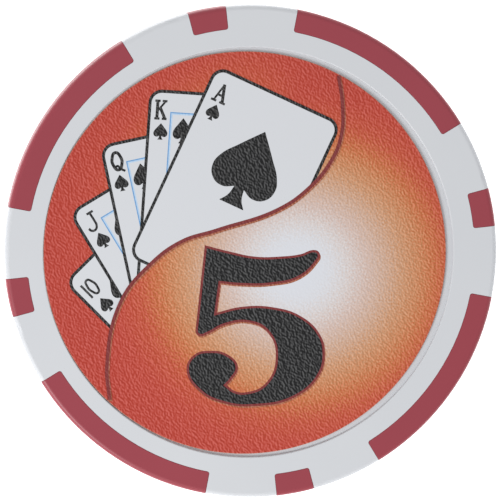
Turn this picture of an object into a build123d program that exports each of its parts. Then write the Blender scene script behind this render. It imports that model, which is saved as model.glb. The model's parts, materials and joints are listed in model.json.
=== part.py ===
from build123d import *
from math import cos, degrees, radians, sin
import os

# A weighted plastic chip, the size of a casino chip, carried as a golf ball marker.
# It lies flat: Z is its axis, the front face looks up +Z, and the back face rests on Z = 0.
# The numeral on the front reads upright with +Y at its top. Lengths are in mm, angles in degrees.

# Moulded disc
CHIP_DIAMETER = 39.0
CHIP_THICKNESS = 3.3
RIM_ROUNDING = 0.4  # where each face turns into the rim

# Steel weight, moulded in at mid-thickness
SLUG_RIM_COVER = 4.5  # plastic from the slug's edge to the rim
SLUG_THICKNESS = 1.55
SLUG_EDGE_ROUNDING = 0.2  # left by the press tool

# Pins in the mould hold the slug while the plastic flows, and leave holes under the labels
PIN_HOLE_DIAMETER = 2.0
PIN_HOLE_COUNT = 3
PIN_HOLE_INSET = 4.0  # from the slug's edge to the middle of a hole
PIN_HOLE_START = 90.0

# Edge spots: a long one and a short one in each quarter of the rim
SPOT_PAIRS = 4
SPOT_DEPTH = 1.8  # from the rim to the spot's inner edge
SPOT_CORNER_ROUNDING = 0.2
SEAM_BEVEL = 0.05  # the spot's plastic shrinks back from the seam as it cools
LONG_SPOT_SPAN = 47.8
LONG_SPOT_CENTRE = 55.3
SHORT_SPOT_SPAN = 9.0
SHORT_SPOT_CENTRE = 10.4

# Each spot is keyed into the body by a tongue: a narrow neck with a wider foot behind it
TONGUE_THICKNESS = 1.1
NECK_INSET = 0.7  # how much narrower the neck is than the spot, on each side
NECK_DEPTH = 0.4
FOOT_DEPTH = 0.4

# Round recess in each face. Each mould half's core sits a little off the chip's axis.
RECESS_RIM_BAND = 3.28  # face left between the recess and the rim
RECESS_DEPTH = 0.25
RECESS_MOUTH_ROUNDING = 0.1
FRONT_RECESS_OFFSET = Vector(-0.21, -0.02)
BACK_RECESS_OFFSET = Vector(0.06, 0.1)

# Label glued into each recess
LABEL_GAP = 0.29  # between label and recess wall, when the label is centred
ADHESIVE_THICKNESS = 0.03
ADHESIVE_MARGIN = 0.1  # the glue stops short of the label's cut edge
FILM_THICKNESS = 0.1
LAMINATE_THICKNESS = 0.07

# A label is never laid quite in the middle: the share of the gap that it has slid, and which way
FRONT_LABEL_SLIDE = 0.98
FRONT_LABEL_SLIDE_ANGLE = 187.0
BACK_LABEL_SLIDE = 0.6
BACK_LABEL_SLIDE_ANGLE = 320.0

SAME = 0.001  # lengths closer than this are the same length
UPRIGHT = 0.01  # a wall's normal leans up or down by less than this

CHIP_RADIUS = CHIP_DIAMETER / 2
MID_PLANE = CHIP_THICKNESS / 2
SLUG_RADIUS = CHIP_RADIUS - SLUG_RIM_COVER
RECESS_RADIUS = CHIP_RADIUS - RECESS_RIM_BAND
LABEL_RADIUS = RECESS_RADIUS - LABEL_GAP
SPOT_INNER_RADIUS = CHIP_RADIUS - SPOT_DEPTH


def polar(radius, angle):
    return Vector(radius * cos(radians(angle)), radius * sin(radians(angle)))


def disc(radius, thickness, bottom, centre=Vector(0, 0)):
    flat = Cylinder(radius, thickness, align=(Align.CENTER, Align.CENTER, Align.MIN))
    return Pos(centre.X, centre.Y, bottom) * flat


def blank():
    """The whole chip's outside: a disc with rounded rim edges."""
    whole = disc(CHIP_RADIUS, CHIP_THICKNESS, 0)
    return fillet(whole.edges().filter_by(GeomType.CIRCLE), RIM_ROUNDING)


def ring_sector(inner, outer, centre_angle, span):
    """A flat piece of ring with radial sides."""
    start, end = centre_angle - span / 2, centre_angle + span / 2
    outline = Wire([
        Line(polar(inner, start), polar(outer, start)),
        ThreePointArc(polar(outer, start), polar(outer, centre_angle), polar(outer, end)),
        Line(polar(outer, end), polar(inner, end)),
        ThreePointArc(polar(inner, end), polar(inner, centre_angle), polar(inner, start)),
    ])
    return make_face(outline)


def tongue_layer(inner, outer, centre_angle, span):
    bottom = MID_PLANE - TONGUE_THICKNESS / 2
    return extrude(Pos(0, 0, bottom) * ring_sector(inner, outer, centre_angle, span), TONGUE_THICKNESS)


def seam_edges(block):
    """The edges where the block's inner walls meet the chip's outside."""
    walls = [face for face in block.faces() if abs(face.normal_at().Z) < UPRIGHT
             and face.center().length < CHIP_RADIUS - SEAM_BEVEL]
    edges = block.edges()
    return [edge for edge in edges if sum(edge in wall.edges() for wall in walls) == 1]


def edge_spot(centre_angle, span, seam_bevel):
    """One coloured block of the rim, as thick as the chip, with its keyed tongue."""
    outline = ring_sector(SPOT_INNER_RADIUS, CHIP_RADIUS + SPOT_DEPTH, centre_angle, span)
    inner_corners = outline.vertices().sort_by(lambda corner: corner.center().length)[:2]
    outline = fillet(inner_corners, SPOT_CORNER_ROUNDING)
    block = blank() & extrude(outline, CHIP_THICKNESS)
    if seam_bevel:
        block = chamfer(seam_edges(block), seam_bevel)

    foot_outer = SPOT_INNER_RADIUS - NECK_DEPTH
    neck_span = span - 2 * degrees(NECK_INSET / SPOT_INNER_RADIUS)
    neck = tongue_layer(foot_outer, SPOT_INNER_RADIUS + SPOT_CORNER_ROUNDING, centre_angle, neck_span)
    foot = tongue_layer(foot_outer - FOOT_DEPTH, foot_outer, centre_angle, span)
    return block + neck + foot


def weight_slug():
    slug = disc(SLUG_RADIUS, SLUG_THICKNESS, MID_PLANE - SLUG_THICKNESS / 2)
    return fillet(slug.edges().filter_by(GeomType.CIRCLE), SLUG_EDGE_ROUNDING)


def pin_holes():
    """Straight holes from face to face, cut before the slug is put back in their way."""
    ring = PolarLocations(SLUG_RADIUS - PIN_HOLE_INSET, PIN_HOLE_COUNT, start_angle=PIN_HOLE_START)
    drill = disc(PIN_HOLE_DIAMETER / 2, CHIP_THICKNESS, 0)
    return [place * drill for place in ring]


def recess_mouths(shape):
    """The edges where the recess walls meet the two faces."""
    circles = shape.edges().filter_by(GeomType.CIRCLE)
    faces = (0, CHIP_THICKNESS)
    return [edge for edge in circles if abs(edge.radius - RECESS_RADIUS) < SAME
            and min(abs(edge.center().Z - z) for z in faces) < SAME]


def body(slug, notches):
    """The white moulding, which flows round the slug and fills in round the notches for the spots."""
    front_recess = disc(RECESS_RADIUS, RECESS_DEPTH, CHIP_THICKNESS - RECESS_DEPTH, FRONT_RECESS_OFFSET)
    back_recess = disc(RECESS_RADIUS, RECESS_DEPTH, 0, BACK_RECESS_OFFSET)
    dished = blank() - [front_recess, back_recess]
    dished = fillet(recess_mouths(dished), RECESS_MOUTH_ROUNDING)
    return dished - [slug, *notches, *pin_holes()]


def label(recess_centre, slide, slide_angle, floor, outward):
    """One label's three layers, from the recess floor out. outward is 1 for the front, -1 for the back."""
    centre = recess_centre + polar(LABEL_GAP * slide, slide_angle)
    layers = {}
    height = floor
    for layer, radius, thickness in (
        ("adhesive", LABEL_RADIUS - ADHESIVE_MARGIN, ADHESIVE_THICKNESS),
        ("film", LABEL_RADIUS, FILM_THICKNESS),
        ("laminate", LABEL_RADIUS, LAMINATE_THICKNESS),
    ):
        next_height = height + outward * thickness
        layers[layer] = disc(radius, thickness, min(height, next_height), centre)
        height = next_height
    return layers


parts = {"weight_slug": weight_slug()}
notches = []
for number in range(SPOT_PAIRS):
    turn = number * 360 / SPOT_PAIRS
    for kind, centre_angle, span in (
        ("long", LONG_SPOT_CENTRE + turn, LONG_SPOT_SPAN),
        ("short", SHORT_SPOT_CENTRE + turn, SHORT_SPOT_SPAN),
    ):
        parts[f"{kind}_spot_{number + 1}"] = edge_spot(centre_angle, span, SEAM_BEVEL)
        notches.append(edge_spot(centre_angle, span, 0))
parts["body"] = body(parts["weight_slug"], notches)

front_floor, back_floor = CHIP_THICKNESS - RECESS_DEPTH, RECESS_DEPTH
front = label(FRONT_RECESS_OFFSET, FRONT_LABEL_SLIDE, FRONT_LABEL_SLIDE_ANGLE, front_floor, 1)
back = label(BACK_RECESS_OFFSET, BACK_LABEL_SLIDE, BACK_LABEL_SLIDE_ANGLE, back_floor, -1)
for side, layers in (("front", front), ("back", back)):
    for layer, shape in layers.items():
        parts[f"{side}_label_{layer}"] = shape

os.makedirs("parts", exist_ok=True)
for name, shape in parts.items():
    shape.label = name
    export_step(shape, f"parts/{name}.step")
    print(f"{name}: {shape.volume:.2f} mm3")
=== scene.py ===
# %% [markdown]
# # A poker-chip ball marker
# The chip is a white plastic disc with eight red edge spots, a steel weight inside, and a printed label
# glued into a shallow recess on each face. The plastic parts come from the CAD frame with their true
# edges, so this lesson gives them their finish, and then builds the two labels in full: the embossed
# clear film, and every patch of ink under it.

# %% Load the frame
import json
from math import cos, radians, sin

import bmesh
import bpy
from mathutils import Matrix, Vector

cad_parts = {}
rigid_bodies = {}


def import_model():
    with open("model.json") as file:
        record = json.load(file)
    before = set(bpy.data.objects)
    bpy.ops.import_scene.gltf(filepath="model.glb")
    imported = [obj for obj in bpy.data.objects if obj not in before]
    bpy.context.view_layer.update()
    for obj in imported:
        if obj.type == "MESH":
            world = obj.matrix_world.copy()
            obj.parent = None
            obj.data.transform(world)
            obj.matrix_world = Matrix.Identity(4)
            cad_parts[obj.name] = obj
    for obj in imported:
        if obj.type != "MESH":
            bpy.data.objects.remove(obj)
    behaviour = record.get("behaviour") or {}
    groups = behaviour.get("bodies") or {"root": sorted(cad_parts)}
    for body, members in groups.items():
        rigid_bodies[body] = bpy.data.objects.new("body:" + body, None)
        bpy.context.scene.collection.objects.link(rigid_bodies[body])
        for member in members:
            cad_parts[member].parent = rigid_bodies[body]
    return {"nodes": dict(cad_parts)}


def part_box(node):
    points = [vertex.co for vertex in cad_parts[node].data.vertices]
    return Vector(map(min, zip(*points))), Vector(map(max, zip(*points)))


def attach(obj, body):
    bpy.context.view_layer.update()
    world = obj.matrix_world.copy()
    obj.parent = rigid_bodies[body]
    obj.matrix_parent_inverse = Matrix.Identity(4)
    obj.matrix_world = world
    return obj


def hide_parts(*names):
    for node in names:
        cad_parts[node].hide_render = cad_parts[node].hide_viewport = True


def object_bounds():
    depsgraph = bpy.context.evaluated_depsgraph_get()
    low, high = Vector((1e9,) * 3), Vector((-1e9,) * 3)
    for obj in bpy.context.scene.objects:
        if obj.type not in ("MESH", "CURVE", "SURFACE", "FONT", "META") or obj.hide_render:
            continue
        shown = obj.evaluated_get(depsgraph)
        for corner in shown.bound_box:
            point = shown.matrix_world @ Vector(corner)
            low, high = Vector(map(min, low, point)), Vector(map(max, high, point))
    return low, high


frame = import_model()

cad_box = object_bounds()
MM = 0.001
SIDES = ("front", "back")
scene = bpy.context.scene
chip_low, chip_high = cad_box
print(len(frame["nodes"]), "CAD nodes,", [round(length / MM, 2) for length in chip_high - chip_low], "mm")

# %% [markdown]
# ## Colours, nodes and objects
# A printer or a moulder names a colour as an sRGB hex value, but a shader works in linear light. One
# function turns one into the other. A second adds a shader node, sets it and links it, so that a
# material reads as a short list of what it is made of. The node editor could do the same by hand, but a
# script can be read and changed. A third puts a new object in the scene.

# %% Helpers for colours, nodes and objects
def linear(hex_value):
    """An sRGB hex value such as 'D8DADD' as linear red, green, blue and alpha."""
    channels = [int(hex_value[start:start + 2], 16) / 255 for start in (0, 2, 4)]
    return [c / 12.92 if c <= 0.04045 else ((c + 0.055) / 1.055) ** 2.4 for c in channels] + [1.0]


def add(tree, kind, links=None, values=None, **settings):
    """A new node. links maps an input to another node's output, values maps an input to a constant."""
    node = tree.nodes.new(kind)
    for name, value in settings.items():
        setattr(node, name, value)
    for name, value in (values or {}).items():
        node.inputs[name].default_value = value
    for name, output in (links or {}).items():
        tree.links.new(output, node.inputs[name])
    return node


def new_material(name):
    """An empty node material and its shader, ready for colour, roughness and bump."""
    material = bpy.data.materials.new(name)
    material.use_nodes = True
    tree = material.node_tree
    tree.nodes.clear()
    shader = add(tree, "ShaderNodeBsdfPrincipled")
    add(tree, "ShaderNodeOutputMaterial", links={"Surface": shader.outputs["BSDF"]})
    return material, tree, shader


def in_scene(name, data):
    """A new object in the scene that shows a mesh, a curve, a light or a camera."""
    item = bpy.data.objects.new(name, data)
    scene.collection.objects.link(item)
    return item


print("sRGB 808080 is", round(linear("808080")[0], 3), "in linear light")

# %% [markdown]
# ## Camera
# The chip is looked at from almost straight above, with a long lens, so its rim barely shows. The small
# lean towards the upper left lets a sliver of the rim show on that side. A Track To constraint could
# aim the camera, but the direction is known, so the camera's three axes are worked out from it.

# %% Camera
LENS_MM = 365
SENSOR_MM = 36
CLIP_START = 0.01
VIEW_WIDTH = 39.47 * MM  # how much of the front face's plane the long side of the image takes in
AIM_X, AIM_Y = -0.16 * MM, 0.2 * MM
aim = Vector((AIM_X, AIM_Y, chip_high.z))


def direction(azimuth, elevation):
    """A unit vector away from the chip. azimuth goes round from +X, and elevation rises from the floor."""
    a, e = radians(azimuth), radians(elevation)
    return Vector((cos(a) * cos(e), sin(a) * cos(e), sin(e)))


camera_data = bpy.data.cameras.new("camera")
camera_data.lens = LENS_MM
camera_data.sensor_width = SENSOR_MM
camera_data.clip_start = CLIP_START
camera = in_scene("camera", camera_data)
back_off = direction(azimuth=135, elevation=84)
camera.location = aim + back_off * (VIEW_WIDTH * LENS_MM / SENSOR_MM)
to_the_right = Vector((0, 1, 0)).cross(back_off).normalized()
axes = Matrix((to_the_right, back_off.cross(to_the_right), back_off)).transposed()
camera.rotation_mode = "QUATERNION"
camera.rotation_quaternion = axes.to_quaternion()
scene.camera = camera
print("camera distance:", round((camera.location - aim).length / MM), "mm")

# %% [markdown]
# ## Floor
# The chip lies on a sweep of white paper that stays plain white right up to the rim. More lamps could
# do that, but they would wash out the chip as well, so the paper glows a little by itself. It lies a
# hair below the chip, because two faces in one plane would flicker.

# %% Floor
FLOOR_RADIUS = 0.6
FLOOR_GAP = 0.02 * MM
paper, tree, shader = new_material("white_paper_sweep")
shader.inputs["Base Color"].default_value = linear("F6F6F6")
shader.inputs["Roughness"].default_value = 0.9
shader.inputs["Specular IOR Level"].default_value = 0.1
shader.inputs["Emission Color"].default_value = (1, 1, 1, 1)
shader.inputs["Emission Strength"].default_value = 1.0

bm = bmesh.new()
bmesh.ops.create_circle(bm, cap_ends=True, radius=FLOOR_RADIUS, segments=64)
bmesh.ops.translate(bm, verts=bm.verts, vec=(0, 0, chip_low.z - FLOOR_GAP))
floor_mesh = bpy.data.meshes.new("floor")
bm.to_mesh(floor_mesh)
bm.free()
floor_mesh.materials.append(paper)
floor = in_scene("floor", floor_mesh)
print("floor:", 2 * FLOOR_RADIUS, "m across")

# %% [markdown]
# ## Light
# A product on pure white is lit from all round, so the sky does most of the work. One soft key light
# from the lower left gives the embossed grain and the recess their light and dark sides. A sun lamp
# would do that more harshly. A square area light is as soft as the softbox in a studio.

# %% Sky and key light
SKY_COLOUR = (0.985, 0.99, 1.0, 1)
SKY_STRENGTH = 0.69
KEY_DISTANCE, KEY_SIZE = 0.3, 0.12
KEY_POWER = 0.54
scene.view_settings.view_transform = "Standard"
scene.world = bpy.data.worlds.new("studio")
scene.world.use_nodes = True
sky = scene.world.node_tree.nodes["Background"]
sky.inputs["Color"].default_value = SKY_COLOUR
sky.inputs["Strength"].default_value = SKY_STRENGTH

key_data = bpy.data.lights.new("key", "AREA")
key_data.size = KEY_SIZE
key_data.energy = KEY_POWER
key = in_scene("key", key_data)
towards_key = direction(azimuth=225, elevation=38)
key.location = aim + towards_key * KEY_DISTANCE
key.rotation_mode = "QUATERNION"
key.rotation_quaternion = (-towards_key).to_track_quat("-Z", "Y")
print("key light:", round(key.location.z / MM), "mm above the floor")

# %% [markdown]
# ## Moulded ABS
# The body and the spots are ABS, a hard plastic that comes out of a spark-eroded mould with a fine, even
# matte skin. To the eye it is almost flat in colour, with a soft broad sheen. A very fine bump, about
# 0.12 mm between its peaks, breaks up the sheen, and a slow, faint change in shade keeps it from looking
# painted on. Real spark texture is finer than that, and is drawn this coarse so that it shows. A noise
# texture makes both, because it has no seams and needs no unwrapping.

# %% ABS for the body and the spots
SPARK_TEXTURE_MM = 0.12
SPARK_DEPTH_MM = 0.004
FLOW_PATCH_MM = 9.0  # the size of the faint patches that the plastic leaves as it flows into the mould
ABS_IOR = 1.52


def place_in_mm(tree, flat=False):
    """Object coordinates in millimetres. flat drops the height, so a pattern is the same at any level."""
    where = add(tree, "ShaderNodeTexCoord")
    scale = (1 / MM, 1 / MM, 0 if flat else 1 / MM)
    return add(tree, "ShaderNodeMapping", links={"Vector": where.outputs["Object"]},
               values={"Scale": scale}).outputs["Vector"]


def moulded_abs(name, base, shaded, roughness):
    material, tree, shader = new_material(name)
    place = place_in_mm(tree)
    flow = add(tree, "ShaderNodeTexNoise", links={"Vector": place},
               values={"Scale": 1 / FLOW_PATCH_MM, "Detail": 2.0})
    tint = add(tree, "ShaderNodeMix", data_type="RGBA", links={"Factor": flow.outputs["Fac"]})
    tint.inputs["A"].default_value = linear(base)
    tint.inputs["B"].default_value = linear(shaded)
    tree.links.new(tint.outputs["Result"], shader.inputs["Base Color"])
    spark = add(tree, "ShaderNodeTexNoise", links={"Vector": place},
                values={"Scale": 1 / SPARK_TEXTURE_MM, "Detail": 3.0, "Roughness": 0.6})
    bump = add(tree, "ShaderNodeBump", links={"Height": spark.outputs["Fac"]},
               values={"Strength": 0.25, "Distance": SPARK_DEPTH_MM * MM})
    tree.links.new(bump.outputs["Normal"], shader.inputs["Normal"])
    shader.inputs["Roughness"].default_value = roughness
    shader.inputs["IOR"].default_value = ABS_IOR
    return material


def finish_node(node, material):
    """Puts one material over the whole of a CAD node."""
    mesh = frame["nodes"][node].data
    mesh.materials.clear()
    mesh.materials.append(material)


finish_node("body", moulded_abs("white_abs", "D0D2D5", "CBCDD1", roughness=0.45))
red_abs = moulded_abs("red_abs", "993844", "91333F", roughness=0.42)
spots = [name for name in frame["nodes"] if "spot" in name]
for name in spots:
    finish_node(name, red_abs)
print("finished the body and", len(spots), "edge spots")

# %% [markdown]
# ## Steel weight and label glue
# Nobody sees these two until the chip is taken apart. The weight is blanked from cold-rolled steel, so
# it has fine straight rolling lines: a noise that is squeezed in one direction. The glue is a clear
# acrylic film that has yellowed a little, with cloudy patches where it wetted the plastic unevenly.

# %% Steel and glue
ROLLING_LINES_PER_MM = (0.3, 12.0, 1.0)
GLUE_CLOUDS_PER_MM = 1.2


def rolled_steel():
    material, tree, shader = new_material("cold_rolled_steel")
    squeezed = add(tree, "ShaderNodeMapping", links={"Vector": place_in_mm(tree)},
                   values={"Scale": ROLLING_LINES_PER_MM})
    lines = add(tree, "ShaderNodeTexNoise", links={"Vector": squeezed.outputs["Vector"]},
                values={"Scale": 1.0, "Detail": 4.0})
    rough = add(tree, "ShaderNodeMapRange", links={"Value": lines.outputs["Fac"]},
                values={"To Min": 0.28, "To Max": 0.5})
    tree.links.new(rough.outputs["Result"], shader.inputs["Roughness"])
    shader.inputs["Base Color"].default_value = linear("B9B9BC")
    shader.inputs["Metallic"].default_value = 1.0
    return material


def acrylic_glue():
    material, tree, shader = new_material("acrylic_glue")
    clouds = add(tree, "ShaderNodeTexNoise", links={"Vector": place_in_mm(tree)},
                 values={"Scale": GLUE_CLOUDS_PER_MM, "Detail": 3.0})
    rough = add(tree, "ShaderNodeMapRange", links={"Value": clouds.outputs["Fac"]},
                values={"To Min": 0.2, "To Max": 0.45})
    tree.links.new(rough.outputs["Result"], shader.inputs["Roughness"])
    shader.inputs["Base Color"].default_value = linear("D9D6C6")
    return material


finish_node("weight_slug", rolled_steel())
glue = acrylic_glue()
for side in SIDES:
    finish_node(f"{side}_label_adhesive", glue)
print("finished the weight and the glue")

# %% [markdown]
# ## Embossed laminate
# The label is printed, then covered with a clear film that a patterned roller has pressed into a leather
# grain: short creases, about a quarter of a millimetre apart, that lean much the same way. Plain noise
# has no direction, and squeezed noise gives long strands. Blender's Gabor texture scatters short waves
# of one length and one rough direction, which is just what creases are. The creases' light is painted
# into the ink's colour: painted shade in the valleys, and a painted highlight and a painted white glint on
# the crests. This is strongest on solid ink and absent on bare white. A bump also gives the creases a
# real shine. The grain depends only on the place on the chip, so it runs on without a break from one
# ink to the next.

# %% Shared finish of everything on a label
CREASE_PATCH_MM = 0.27  # the size of a patch that holds one short wave
CREASES_PER_PATCH = 1.0
CREASE_ALIGNMENT = 0.6  # 0 for waves that run every way, 1 for all in one direction
CREASE_ACROSS = radians(28)  # the direction across the creases
CREASE_HEIGHT_MM = 0.006
CREASE_VALLEY, CREASE_CREST = 0.3, 0.7  # the texture's values that count as lowest and highest
# Painted light: the creases' shade, highlights and glints are painted into the ink's colour.
CREASE_PAINTED_SHADE = 0.185  # how much darker the painted shade makes a valley than flat ink, and how much paler the painted highlight makes a crest
CREASE_PAINTED_GLINT = 0.087  # the painted white glint that a crest adds
PAINTED_GLINT_START = -0.35  # where the painted glint starts, on a scale from -1 in a valley to 1 on a crest
INK_EMBOSS, WHITE_EMBOSS = 0.5, 0.3  # how deep the creases look, on ink and on bare white
FILM_ROUGHNESS = 0.42
FILM_SHINE = 0.3


def emboss(tree, shader, depth):
    """Presses the creases into a surface, to a share of their full height, and returns their height."""
    creases = add(tree, "ShaderNodeTexGabor", gabor_type="2D",
                  links={"Vector": place_in_mm(tree, flat=True)},
                  values={"Scale": 1 / CREASE_PATCH_MM, "Frequency": CREASES_PER_PATCH,
                          "Anisotropy": CREASE_ALIGNMENT, "Orientation": CREASE_ACROSS})
    bump = add(tree, "ShaderNodeBump", links={"Height": creases.outputs["Value"]},
               values={"Strength": depth, "Distance": CREASE_HEIGHT_MM * MM})
    tree.links.new(bump.outputs["Normal"], shader.inputs["Normal"])
    return creases.outputs["Value"]


def laminate(tree, shader, colour, painted_light_share):
    """Covers a colour with the film's grain and shine, and paints the creases' shade, highlights and glints
    into the colour: in full on ink (1), and not at all on bare white (0).
    """
    # rise goes from -1 in a crease's valley to 1 on its crest. Scaled by the share, it drives the painted
    # shade and highlight.
    rise = add(tree, "ShaderNodeMapRange", links={"Value": emboss(tree, shader, INK_EMBOSS)},
               values={"From Min": CREASE_VALLEY, "From Max": CREASE_CREST, "To Min": -1.0, "To Max": 1.0})
    swing = add(tree, "ShaderNodeMath", operation="MULTIPLY",
                links={0: rise.outputs["Result"], 1: painted_light_share})
    shade = add(tree, "ShaderNodeMath", operation="MULTIPLY_ADD", links={0: swing.outputs["Value"]},
                values={1: CREASE_PAINTED_SHADE, 2: 1.0})
    shaded = add(tree, "ShaderNodeHueSaturation", links={"Color": colour, "Value": shade.outputs["Value"]})
    # a painted white glint, added on the upper sides and crests of the creases
    glint_share = add(tree, "ShaderNodeMapRange", links={"Value": swing.outputs["Value"], "To Max": painted_light_share},
                 values={"From Min": PAINTED_GLINT_START})
    painted_glint = add(tree, "ShaderNodeMix", data_type="RGBA", blend_type="ADD",
               links={"Factor": glint_share.outputs["Result"], "A": shaded.outputs["Color"]})
    painted_glint.inputs["B"].default_value = (CREASE_PAINTED_GLINT, CREASE_PAINTED_GLINT, CREASE_PAINTED_GLINT, 1)
    tree.links.new(painted_glint.outputs["Result"], shader.inputs["Base Color"])
    shader.inputs["Roughness"].default_value = FILM_ROUGHNESS
    shader.inputs["Specular IOR Level"].default_value = FILM_SHINE


print("creases:", CREASE_PATCH_MM / CREASES_PER_PATCH, "mm apart")

# %% [markdown]
# ## Inks
# Each ink is one flat colour under the laminate. Vertex colours could put them all in one material, but
# a press has a plate for each ink, and a material for each is just as easy to change. A solid ink gets
# the creases' painted shade and glints in full, and a thin tint gets less of them. The cards' white is
# the bare face of the label. It gets no painted shade or glints, only a faint bump of the same grain.

# %% Inks
def ink(name, base, painted_light_share=1.0):
    """A flat printed colour under the laminate, with the creases' painted shade and glints."""
    material, tree, shader = new_material(name)
    colour = add(tree, "ShaderNodeRGB")
    colour.outputs["Color"].default_value = linear(base)
    strength = add(tree, "ShaderNodeValue")
    strength.outputs["Value"].default_value = painted_light_share
    laminate(tree, shader, colour.outputs["Color"], strength.outputs["Value"])
    return material


def bare_white(name, base):
    """The label's own white, where nothing is printed."""
    material, tree, shader = new_material(name)
    shader.inputs["Base Color"].default_value = linear(base)
    shader.inputs["Roughness"].default_value = FILM_ROUGHNESS
    emboss(tree, shader, WHITE_EMBOSS)
    return material


black_ink = ink("black_ink", "0A0A0C")
outline_red_ink = ink("dark_red_ink", "7A2A2A", painted_light_share=0.5)
fringe_ink = ink("orange_fringe_ink", "9E5838")
frame_blue_ink = ink("frame_blue_ink", "6A9CCC", painted_light_share=0.3)
pale_blue_ink = ink("pale_blue_ink", "B4CCE4", painted_light_share=0.3)
# The cut edge is a lighter red-brown than a raw edge: painted light that brightens the shaded trench round
# the label.
painted_lit_cut_edge = ink("label_cut_edge", "B8664E")
card_white = bare_white("bare_label_white", "D2D4D8")
print(sum("ink" in material.name for material in bpy.data.materials), "inks")

# %% [markdown]
# ## Where each label lies
# Each label is a disc, and its place and thickness come from the CAD frame. Artwork is drawn once, in
# millimetres from the label's middle. An empty on each face could carry it, but a finished piece keeps
# its place in its mesh, so one matrix per face lays the meshes down. The back label is turned over about
# the Y axis, and then turned in its own plane, because nobody lines up the two sides.

# %% Place of each label
BACK_LABEL_TURN = radians(128)
AS_DRAWN = Matrix()


def label_place(side):
    """A matrix from millimetres on the artwork, with Z out of the face, to metres on the chip."""
    low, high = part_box(f"{side}_label_laminate")
    place = (low + high) / 2
    turn = AS_DRAWN
    if side == "front":
        place.z = high.z
    else:
        place.z = low.z
        turn = Matrix.Rotation(BACK_LABEL_TURN, 4, "Z") @ Matrix.Rotation(radians(180), 4, "Y")
    return Matrix.Translation(place) @ turn @ Matrix.Scale(MM, 4)


PLACES = {side: label_place(side) for side in SIDES}
laminate_low, laminate_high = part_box("front_label_laminate")
film_low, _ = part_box("front_label_film")
LABEL_RADIUS = (laminate_high.x - laminate_low.x) / 2 / MM
LABEL_THICKNESS = (laminate_high.z - film_low.z) / MM
print("label radius", round(LABEL_RADIUS, 2), "mm, thickness", round(LABEL_THICKNESS, 2), "mm")

# %% [markdown]
# ## Two glows
# Behind the artwork the label glows: white in the middle of the light, then peach, orange and deep red
# towards the edge. A printer would call it a radial blend, and a Gradient texture could draw one. But a
# second, fainter glow lies behind the fan of cards, a long oval that warms the red beyond the cards'
# corners. So the distance from each glow's middle is worked out, and the nearer glow wins.

# %% Distances from the glows
GLOW_MIDDLE = (4.0, -1.35)
GLOW_SQUASH = 1.05  # the glow is a little wider than it is high
FAN_MIDDLE = (-4.0, 6.5)
FAN_LEAN = radians(53)
FAN_OVAL = (1.4, 0.85)  # how far along it and across it the oval glow reaches, against the first glow
FAN_GLOW_START = 6.7  # its own middle has the colour of this distance from the first glow


def glow_distances(tree, side):
    """Two distances in millimetres: from the glow's middle, and from the nearer of the two glows."""
    place, turn, _ = PLACES[side].decompose()
    where = add(tree, "ShaderNodeTexCoord")
    on_label = add(tree, "ShaderNodeMapping", vector_type="TEXTURE",
                   links={"Vector": where.outputs["Object"]},
                   values={"Location": place, "Rotation": turn.to_euler(), "Scale": (MM, MM, MM)})
    offset = add(tree, "ShaderNodeVectorMath", operation="SUBTRACT",
                 links={0: on_label.outputs["Vector"]}, values={1: (*GLOW_MIDDLE, 0)})
    squashed = add(tree, "ShaderNodeVectorMath", operation="MULTIPLY",
                   links={0: offset.outputs["Vector"]}, values={1: (1, GLOW_SQUASH, 0)})
    distance = add(tree, "ShaderNodeVectorMath", operation="LENGTH", links={0: squashed.outputs["Vector"]})
    on_fan = add(tree, "ShaderNodeMapping", vector_type="TEXTURE",
                 links={"Vector": on_label.outputs["Vector"]},
                 values={"Location": (*FAN_MIDDLE, 0), "Rotation": (0, 0, FAN_LEAN), "Scale": (*FAN_OVAL, 1)})
    fan_distance = add(tree, "ShaderNodeVectorMath", operation="LENGTH",
                       links={0: on_fan.outputs["Vector"]})
    fan_glow = add(tree, "ShaderNodeMath", operation="ADD", links={0: fan_distance.outputs["Value"]},
                   values={1: FAN_GLOW_START})
    nearest = add(tree, "ShaderNodeMath", operation="MINIMUM",
                  links={0: distance.outputs["Value"], 1: fan_glow.outputs["Value"]})
    return distance.outputs["Value"], nearest.outputs["Value"]


glow_gap = (Vector(GLOW_MIDDLE) - Vector(FAN_MIDDLE)).length
print("the middles of the glows are", round(glow_gap, 1), "mm apart")

# %% [markdown]
# ## Label ground
# The distance is read through a colour ramp, which holds one ink colour for each of a few distances and
# blends between them. A press makes such a blend from scattered dots. Real ones are too fine to draw one
# by one, so fine noise is added to the distance instead. It shows only where the colour is changing, as
# real dots do. The middle of the glow is bare white, so the creases' painted shade and glints fade out
# there. They grow stronger towards the edge.

# %% Label ground material
GLOW_REACH = 17.0
GLOW_WHITE_MM, GLOW_FULL_PAINTED_LIGHT_MM = 1.0, 10.0  # where the creases' painted light starts, and where it is at its strongest
GROUND_PAINTED_LIGHT = 0.85
PRINT_DOT_MM = 0.14
PRINT_DOT_STRAY_MM = 3.0  # the range over which dots are scattered to make the blend
GLOW_COLOURS = (  # distance from the middle of the glow, and the ink colour there
    (0.0, "D6D9E0"),
    (2.6, "D5D6DB"),
    (4.0, "D3CBC9"),
    (5.5, "CDB6AC"),
    (7.0, "C8A58F"),
    (8.5, "C5906A"),
    (9.9, "C27D50"),
    (11.0, "C06839"),
    (12.5, "BB4B2E"),
    (14.5, "B63D2B"),
    (17.0, "B23828"),
)


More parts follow.
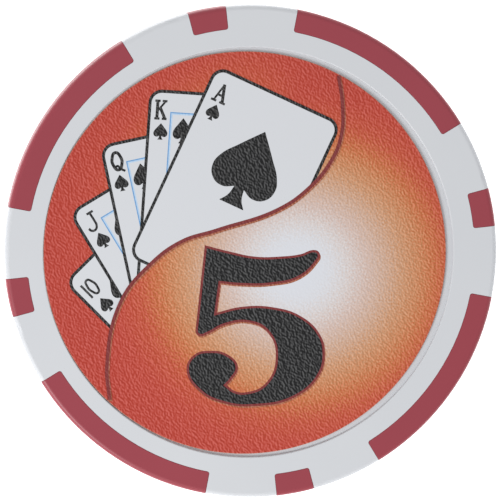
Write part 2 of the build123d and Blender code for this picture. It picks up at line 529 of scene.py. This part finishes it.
def label_ground(side):
    material, tree, shader = new_material(f"{side}_label_ground")
    distance, nearest = glow_distances(tree, side)
    dots = add(tree, "ShaderNodeTexNoise", noise_dimensions="2D",
               links={"Vector": place_in_mm(tree, flat=True)},
               values={"Scale": 1 / PRINT_DOT_MM, "Detail": 1.0})
    strayed = add(tree, "ShaderNodeMath", operation="MULTIPLY_ADD",
                  links={0: dots.outputs["Fac"], 2: nearest}, values={1: PRINT_DOT_STRAY_MM})
    centred = add(tree, "ShaderNodeMath", operation="SUBTRACT", links={0: strayed.outputs["Value"]},
                  values={1: PRINT_DOT_STRAY_MM / 2})
    share = add(tree, "ShaderNodeMath", operation="DIVIDE", links={0: centred.outputs["Value"]},
                values={1: GLOW_REACH})
    ramp = add(tree, "ShaderNodeValToRGB", links={"Fac": share.outputs["Value"]})
    stops = ramp.color_ramp.elements
    while len(stops) < len(GLOW_COLOURS):
        stops.new(0.5)
    for stop, (reach, colour) in zip(stops, GLOW_COLOURS):
        stop.position = reach / GLOW_REACH
        stop.color = linear(colour)
    # how much of the creases' painted shade and glints shows, from none in the white middle to most towards
    # the edge
    painted_light_share = add(tree, "ShaderNodeMapRange", links={"Value": distance},
                   values={"From Min": GLOW_WHITE_MM, "From Max": GLOW_FULL_PAINTED_LIGHT_MM, "To Max": GROUND_PAINTED_LIGHT})
    laminate(tree, shader, ramp.outputs["Color"], painted_light_share.outputs["Result"])
    return material


GROUNDS = {side: label_ground(side) for side in SIDES}
print("label ground:", len(GLOW_COLOURS), "colours over", GLOW_REACH, "mm")

# %% [markdown]
# ## From a drawing to a piece
# Every part of a label starts as a flat drawing in a bmesh, in millimetres. It is extruded downwards, so
# its top face stays where it was drawn and the result is a closed solid. A Solidify modifier could do
# that too, but an extrusion is exact and leaves nothing to apply. Then the matrix of a face lays it
# down, and the piece rides on the chip's one body.

# %% Helpers for pieces
def as_mesh(bm, name):
    """Turns a bmesh into a mesh, which uses the bmesh up."""
    mesh = bpy.data.meshes.new(name)
    bm.to_mesh(mesh)
    bm.free()
    return mesh


def extrude_down(bm, depth):
    """Makes flat faces into closed solids, whose tops stay where the faces were."""
    lower = bmesh.ops.extrude_face_region(bm, geom=list(bm.faces), use_keep_orig=True)
    moved = [item for item in lower["geom"] if isinstance(item, bmesh.types.BMVert)]
    bmesh.ops.translate(bm, verts=moved, vec=(0, 0, -depth))
    bmesh.ops.recalc_face_normals(bm, faces=bm.faces)


def place_piece(name, mesh, side, *materials):
    """Turns a finished mesh in millimetres into a piece that lies on one face and rides on the chip."""
    mesh.transform(PLACES[side])
    mesh.shade_flat()
    for material in materials:
        mesh.materials.append(material)
    piece = in_scene(name, mesh)
    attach(piece, "root")
    print(name, len(mesh.polygons), "faces")
    return piece


print("pieces can be laid on", len(PLACES), "faces of the chip")

# %% [markdown]
# ## Label disc
# Film and laminate are cut out together by a round die, so they are one disc with one cut edge. The die
# leaves the rim of the film slightly rolled over. A raw edge looks darker than the print, but this one is
# given a lighter red-brown: painted light that brightens the shaded trench round the label. A Bevel
# modifier could round it, but it would round the lower rim too. So the disc is a circle that is capped,
# extruded, and bevelled along its upper rim only, in three steps.

# %% Label disc
CUT_ROUNDING = 0.045
DISC_SEGMENTS = 256
FACES_UP = 0.999  # a face lies flat if its normal rises more than this

for side in SIDES:
    bm = bmesh.new()
    bmesh.ops.create_circle(bm, cap_ends=True, radius=LABEL_RADIUS, segments=DISC_SEGMENTS)
    extrude_down(bm, LABEL_THICKNESS)
    upper_rim = [edge for edge in bm.edges if min(v.co.z for v in edge.verts) > -LABEL_THICKNESS / 2]
    bmesh.ops.bevel(bm, geom=upper_rim, offset=CUT_ROUNDING, segments=3, profile=0.5,
                    affect="EDGES", material=-1)
    for face in bm.faces:
        face.material_index = 0 if face.normal.z > FACES_UP else 1
    disc = place_piece(f"{side}_label", as_mesh(bm, "label"), side, GROUNDS[side], painted_lit_cut_edge)
    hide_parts(f"{side}_label_film", f"{side}_label_laminate")

# %% [markdown]
# ## Outlines
# An outline is a closed flat curve: its corners stay sharp, and the points between them flow. A polygon
# would need many more points for the same roundness. Blender fills the curve, and its shape is then
# taken as a mesh. Where two points fall in one place they are merged, so that the fill has no slits.

# %% Helpers for outlines
CORNER, FLOW = "VECTOR", "AUTO"
SAME_POINT = 1e-4  # points nearer than this are one


def discard(item):
    """Throws away an object and what it shows."""
    bpy.data.batch_remove([item, item.data])


def finished_mesh(item):
    """The mesh of an object with its curves filled or its modifiers applied. It replaces the object."""
    mesh = bpy.data.meshes.new_from_object(item.evaluated_get(bpy.context.evaluated_depsgraph_get()))
    discard(item)
    return mesh


def curve_bmesh(data, strokes):
    """A curve's strokes as a bmesh. A stroke is its points, (x, y, CORNER or FLOW), and whether it closes."""
    for points, closed in strokes:
        spline = data.splines.new("BEZIER")
        spline.bezier_points.add(len(points) - 1)
        spline.use_cyclic_u = closed
        for point, (x, y, kind) in zip(spline.bezier_points, points):
            point.co = (x, y, 0)
            point.handle_left_type = point.handle_right_type = kind
    mesh = finished_mesh(in_scene("curve", data))
    bm = bmesh.new()
    bm.from_mesh(mesh)
    bpy.data.meshes.remove(mesh)
    bmesh.ops.remove_doubles(bm, verts=bm.verts, dist=SAME_POINT)
    return bm


def filled(outline, inset=0.0, resolution=10):
    """A flat bmesh inside a closed outline."""
    data = bpy.data.curves.new("outline", "CURVE")
    data.dimensions = "2D"
    data.fill_mode = "BOTH"
    data.resolution_u = resolution
    data.offset = -inset
    bm = curve_bmesh(data, [(outline, True)])
    bmesh.ops.recalc_face_normals(bm, faces=bm.faces)
    if sum(face.normal.z for face in bm.faces) < 0:
        bmesh.ops.reverse_faces(bm, faces=bm.faces)
    return bm


print("points nearer than", SAME_POINT, "mm are merged")

# %% [markdown]
# ## Ink plates
# Each patch of colour is a very thin plate, like a real layer of ink but with crisp edges at any zoom. A
# painted image could do the same, but it would blur up close. The later a patch is printed, the higher
# its level, and a level is only 1.5 thousandths of a millimetre.

# %% Helpers for ink plates
LEVEL = 0.0015


def lift(bm, level, place):
    """Raises a plate to its level and moves it to its place on the label."""
    bmesh.ops.translate(bm, verts=bm.verts, vec=(0, 0, level * LEVEL))
    bmesh.ops.transform(bm, matrix=place, verts=bm.verts)
    return bm


def plate(bm, level, place):
    """Makes a flat bmesh one level thick, and lays it down."""
    extrude_down(bm, LEVEL)
    return lift(bm, level, place)


print("a level of ink is", LEVEL, "mm")

# %% [markdown]
# ## The numeral
# The big 5 is black with a dark red outline. A Text object could give one, but in a typeface's own shape
# and not in this one, so it is an outline of its own. Its plate is filled once from the outline, and once
# more set in by the width of the line. A press never lays two colours exactly on each other, so a trace
# of orange shows below and to the right of the red.

# %% Numeral
FIVE = (
    (-3.2, 0.65, CORNER), (-1.3, 0.15, FLOW), (0.8, -0.28, FLOW), (2.8, -0.28, FLOW),
    (4.4, -0.1, FLOW), (5.39, 0.22, FLOW), (5.79, 0.1, FLOW), (5.92, -0.25, FLOW),
    (5.69, -0.7, FLOW), (4.33, -1.95, FLOW), (2.05, -2.5, FLOW), (-0.5, -2.52, FLOW),
    (-1.95, -2.37, CORNER), (-2.27, -4.7, CORNER), (-0.3, -4.25, FLOW), (2.2, -4.3, FLOW),
    (4.45, -5.05, FLOW), (5.95, -6.53, FLOW), (6.31, -7.93, FLOW), (5.9, -9.68, FLOW),
    (3.95, -11.45, FLOW), (0.5, -12.15, FLOW), (-1.5, -11.95, FLOW), (-3.6, -10.95, FLOW),
    (-4.65, -9.15, FLOW), (-4.0, -8.0, FLOW), (-2.8, -7.72, FLOW), (-1.45, -8.0, FLOW),
    (-0.6, -8.97, FLOW), (-1.15, -10.1, FLOW), (-1.48, -10.45, CORNER), (-0.85, -10.92, FLOW),
    (0.05, -11.03, FLOW), (1.6, -10.35, FLOW), (2.42, -8.2, FLOW), (1.75, -6.25, FLOW),
    (0.3, -5.5, FLOW), (-1.6, -5.7, FLOW), (-2.95, -6.37, FLOW), (-3.55, -6.55, FLOW),
    (-3.9, -6.32, FLOW), (-3.93, -5.95, CORNER),
)
FIVE_LINE = 0.18
FRINGE_SHIFT = Matrix.Translation((0.06, -0.12, 0))

for side in SIDES:
    for name, inset, level, place, material in (
        ("five_fringe", 0, 1, FRINGE_SHIFT, fringe_ink),
        ("five_outline", 0, 2, AS_DRAWN, outline_red_ink),
        ("five", FIVE_LINE, 3, AS_DRAWN, black_ink),
    ):
        numeral = plate(filled(FIVE, inset, resolution=12), level, place)
        place_piece(f"{side}_{name}", as_mesh(numeral, name), side, material)

# %% [markdown]
# ## The dividing curve
# A long S-curve divides the cards from the glowing ground, and the cards end at it. They could run on
# below and be covered, but the ground there is a blend that no patch could match. So the curve's points,
# closed round the outside of the label, make a block, and a Boolean keeps only what lies over it.

# %% The curve and the block that trims the cards
CURVE = (
    (7.38, 14.0), (7.69, 11.8), (7.58, 9.18), (6.68, 7.07), (5.01, 5.1), (2.74, 3.51),
    (-2.25, 1.83), (-5.1, 0.92), (-7.6, -0.93), (-9.83, -3.77), (-10.94, -8.85), (-10.74, -11.55),
)
TRIM_CORNERS = ((-30, -12), (-30, 30), (7.5, 30))
TRIM_HALF_HEIGHT = 1.0


def trimmed(bm, name):
    """Keeps what lies over the trim block, as a mesh."""
    block_bm = filled([(x, y, FLOW) for x, y in CURVE] + [(x, y, CORNER) for x, y in TRIM_CORNERS])
    extrude_down(block_bm, 2 * TRIM_HALF_HEIGHT)
    bmesh.ops.translate(block_bm, verts=block_bm.verts, vec=(0, 0, TRIM_HALF_HEIGHT))
    block = in_scene("trim_block", as_mesh(block_bm, "trim_block"))
    untrimmed = in_scene("untrimmed", as_mesh(bm, "untrimmed"))
    cutter = untrimmed.modifiers.new("trim", "BOOLEAN")
    cutter.operation = "INTERSECT"
    cutter.solver = "EXACT"
    cutter.object = block
    mesh = finished_mesh(untrimmed)
    mesh.name = name
    discard(block)
    return mesh


print("dividing curve:", len(CURVE), "points")

# %% [markdown]
# ## Cards
# Five cards lie in a fan, ten at the bottom and ace on top. A card is a rectangle with its corners
# bevelled round. Insetting its face leaves the black border as a ring of faces, which is surer than two
# outlines, because the line is then the same width all round. The court cards have a fine blue frame,
# and each card has its rank over a small spade in the corner.

# %% Card parts
CARD_SIZE = Vector((10.96, 16.6))
CARD_CORNER = 1.05
CARD_LINE = 0.24
FRAME_MARGIN = Vector((1.63, 1.7))
FRAME_LINE = 0.09
PALE_BAND = 0.2
LINE_SLOT, MIDDLE_SLOT = 0, 1  # the materials of the ring and of what it encloses


def outlined_box(margin, width, corner_radius=0.0):
    """A flat box with a ring round its edge, set in from the edge of a card by a margin."""
    bm = bmesh.new()
    bmesh.ops.create_grid(bm, x_segments=1, y_segments=1, size=0.5)
    size = CARD_SIZE - 2 * margin
    bmesh.ops.scale(bm, verts=bm.verts, vec=(size.x, size.y, 1))
    bmesh.ops.translate(bm, verts=bm.verts, vec=(CARD_SIZE.x / 2, -CARD_SIZE.y / 2, 0))
    if corner_radius:
        bmesh.ops.bevel(bm, geom=bm.verts, offset=corner_radius, segments=8, profile=0.5,
                        affect="VERTICES", material=-1)
    border = bmesh.ops.inset_region(bm, faces=bm.faces, thickness=width, use_boundary=True,
                                    use_even_offset=True)["faces"]
    for face in bm.faces:
        face.material_index = LINE_SLOT if face in border else MIDDLE_SLOT
    return bm


print("card:", round(CARD_SIZE.x, 2), "by", round(CARD_SIZE.y, 2), "mm")

# %% [markdown]
# ## Spades
# A spade is the same on both sides, so half of its outline is drawn and the other half is its mirror
# image. A Mirror modifier would leave a seam down the middle of the fill, so the points are mirrored
# before it is filled. It is measured in its own height, so one outline serves for every size.

# %% Spade
HALF_SPADE = (  # from the tip to the foot, in spade heights
    (0.23, -0.275, FLOW), (0.38, -0.47, FLOW), (0.425, -0.62, FLOW), (0.36, -0.775, FLOW),
    (0.21, -0.83, FLOW), (0.065, -0.77, CORNER), (0.095, -0.9, FLOW), (0.165, -1.0, CORNER),
)
SPADE = ((0, 0, CORNER), *HALF_SPADE, *[(-x, y, kind) for x, y, kind in reversed(HALF_SPADE)])


def spade(tip, height, slimness, level, place):
    outline = [(tip[0] + x * slimness * height, tip[1] + y * height, kind) for x, y, kind in SPADE]
    return plate(filled(outline), level, place)


print("spade:", len(SPADE), "points")

# %% [markdown]
# ## Pen strokes
# Lines of ink are drawn as a signwriter would, with pen strokes. An outline round a line has to be kept
# to one width by hand, so a stroke is a round wire along a curve instead, pressed flat to the thickness
# of ink. Its width never varies.

# %% Helpers for pen strokes
OVAL_SHOULDER = 0.35  # where an oval's sides begin to turn in, in half heights


def straight(*points):
    return [(x, y, CORNER) for x, y in points], False


def flowing(*points, closed=False):
    return [(x, y, FLOW) for x, y in points], closed


def ring(x, y, half_width, half_height):
    """A closed upright oval."""
    shoulder = half_height * OVAL_SHOULDER
    return flowing((x, y + half_height), (x + half_width, y + shoulder), (x + half_width, y - shoulder),
                   (x, y - half_height), (x - half_width, y - shoulder), (x - half_width, y + shoulder),
                   closed=True)


def wire(strokes, width, level, place, resolution=12):
    """Strokes of ink, as round wires that are pressed flat."""
    data = bpy.data.curves.new("wire", "CURVE")
    data.dimensions = "3D"
    data.resolution_u = resolution
    data.bevel_depth = width / 2
    data.bevel_resolution = 2
    data.use_fill_caps = True
    bm = curve_bmesh(data, strokes)
    bmesh.ops.scale(bm, verts=bm.verts, vec=(1, 1, LEVEL / width))
    bmesh.ops.recalc_face_normals(bm, faces=bm.faces)
    return lift(bm, level, place)


print("a stroke is", LEVEL, "mm thick")

# %% [markdown]
# ## Ranks
# The ranks are a few straight strokes with short slabs across their ends, and a flowing stroke where the
# letter bends. A Text object could write them, but they would be in a typeface's own shapes. All are
# generic playing-card ranks.

# %% Rank strokes
THIN, BOLD, SLAB = 0.16, 0.24, 0.18
RANKS = {  # strokes about the middle of the letter, grouped by pen width
    "A": {
        THIN: [straight((0.02, 0.72), (-0.3, -0.68))],
        BOLD: [straight((0.0, 0.72), (0.42, -0.68))],
        SLAB: [straight((-0.2, -0.18), (0.28, -0.18)), straight((-0.53, -0.7), (-0.08, -0.7)),
               straight((0.18, -0.7), (0.66, -0.7))],
    },
    "K": {
        THIN: [straight((0.34, 0.66), (-0.24, -0.1))],
        BOLD: [straight((-0.26, 0.7), (-0.26, -0.7)), straight((-0.04, 0.16), (0.36, -0.66))],
        SLAB: [straight((-0.47, 0.7), (-0.05, 0.7)), straight((-0.47, -0.7), (-0.05, -0.7)),
               straight((0.11, 0.7), (0.49, 0.7)), straight((0.13, -0.7), (0.51, -0.7))],
    },
    "Q": {
        BOLD: [ring(0.08, 0.03, 0.35, 0.69)],
        SLAB: [flowing((-0.18, -0.46), (0.04, -0.35), (0.26, -0.62), (0.57, -0.85))],
    },
    "J": {
        SLAB: [straight((-0.04, 0.66), (0.52, 0.66)),
               flowing((0.22, 0.66), (0.24, 0.0), (0.19, -0.5), (-0.08, -0.74), (-0.38, -0.62),
                       (-0.46, -0.4))],
    },
    "10": {
        SLAB: [straight((-0.3, 0.66), (-0.3, -0.7)), ring(0.3, -0.03, 0.29, 0.67)],
    },
}

for rank, pens in RANKS.items():
    print(rank, "has", sum(len(strokes) for strokes in pens.values()), "strokes")

# %% [markdown]
# ## Where the cards lie
# Each card has its own place and turn, as in a hand that someone has spread. No two are printed quite
# alike, so the print on each has strayed a little from its card.

# %% Places of the cards and their print
# A card's rank, where its top left corner would be if it were sharp, its turn, how far its print has
# strayed, and the tips of its small spade and its main one
CARDS = (
    ("10", (-14.33, -2.23), 44.5, (0.2, -0.2), (0.95, -2.71), (2.58, -2.1)),
    ("J", (-13.95, 3.27), 31.0, (0.32, 0.06), (0.87, -2.63), (2.81, -2.1)),
    ("Q", (-11.5, 8.55), 12.0, (0.15, 0.05), (0.91, -2.63), (2.68, -2.1)),
    ("K", (-7.55, 13.0), -4.0, (0.13, 0), (0.96, -2.63), (2.7, -2.12)),
    ("A", (-2.28, 14.86), -25.0, (0.1, -0.05), (1.24, -2.77), (5.62, -3.1)),
)
RANK_MIDDLE, ACE_RANK_MIDDLE = (0.86, -1.58), (1.15, -1.79)
SMALL_SPADE, MAIN_SPADE, ACE_SPADE = 1.3, 2.01, 6.35  # heights
MAIN_SPADE_SLIMNESS = 0.9
print("the fan spreads over", CARDS[0][2] - CARDS[-1][2], "degrees")

# %% [markdown]
# ## Laying out the fan
# Every card takes five levels: one for its border and face, one for the pale blue band with white inside
# it, one for the blue line, and one for the rank and the spades. The fifth stays free as a gap below the
# next card, which hides what it covers, as in a real hand of cards. Separate objects for every patch
# would be hard to handle, so all the patches of one kind are joined into one piece.

# %% Build and place the cards
LEVELS_PER_CARD = 5
BAND_LEVEL, LINE_LEVEL, PRINT_LEVEL = 1, 2, 3  # above the card's own face


def shifted(place, offset):
    return place @ Matrix.Translation((*offset, 0))


def joined(bmeshes, name):
    """Several bmeshes as one, which uses them up."""
    whole = bmesh.new()
    for bm in bmeshes:
        mesh = as_mesh(bm, name)
        whole.from_mesh(mesh)
        bpy.data.meshes.remove(mesh)
    return whole


def fan(side):
    faces, halos, frames, spades, ranks = [], [], [], [], []
    for order, (rank, corner, turn, stray, small_tip, main_tip) in enumerate(CARDS):
        base = 1 + order * LEVELS_PER_CARD
        card = Matrix.Translation((*corner, 0)) @ Matrix.Rotation(radians(turn), 4, "Z")
        faces.append(plate(outlined_box(Vector((0, 0)), CARD_LINE, CARD_CORNER), base, card))
        card_print = shifted(card, stray)
        if rank in "JQK":
            halos.append(plate(outlined_box(FRAME_MARGIN, PALE_BAND), base + BAND_LEVEL, card_print))
            line = outlined_box(FRAME_MARGIN, FRAME_LINE)
            middle = [face for face in line.faces if face.material_index == MIDDLE_SLOT]
            bmesh.ops.delete(line, geom=middle, context="FACES")
            frames.append(plate(line, base + LINE_LEVEL, card_print))
        ink_level = base + PRINT_LEVEL
        letter = shifted(card_print, ACE_RANK_MIDDLE if rank == "A" else RANK_MIDDLE)
        for width, strokes in RANKS[rank].items():
            ranks.append(wire(strokes, width, ink_level, letter))
        height, slimness = (ACE_SPADE, 1.0) if rank == "A" else (MAIN_SPADE, MAIN_SPADE_SLIMNESS)
        spades.append(spade(small_tip, SMALL_SPADE, 1.0, ink_level, card_print))
        spades.append(spade(main_tip, height, slimness, ink_level, card_print))
    for name, parts, materials in (
        ("cards", faces, (black_ink, card_white)),
        ("card_halos", halos, (pale_blue_ink, card_white)),
        ("card_frames", frames, (frame_blue_ink,)),
        ("card_spades", spades, (black_ink,)),
    ):
        place_piece(f"{side}_{name}", trimmed(joined(parts, name), name), side, *materials)
    place_piece(f"{side}_card_ranks", as_mesh(joined(ranks, "ranks"), "ranks"), side, black_ink)


for side in SIDES:
    fan(side)

# %% [markdown]
# ## The curve's ink
# The dividing curve itself is printed last, over the cards' cut ends. It is a stroke like those of the
# ranks, with the same trace of orange beside its red.

# %% The curve's ink
CURVE_LINE = 0.28
TOP_LEVEL = 1 + len(CARDS) * LEVELS_PER_CARD

for side in SIDES:
    for name, level, place, material in (
        ("curve_fringe", TOP_LEVEL, FRINGE_SHIFT, fringe_ink),
        ("curve_line", TOP_LEVEL + 1, AS_DRAWN, outline_red_ink),
    ):
        line = wire([flowing(*CURVE)], CURVE_LINE, level, place, resolution=24)
        place_piece(f"{side}_{name}", as_mesh(line, name), side, material)
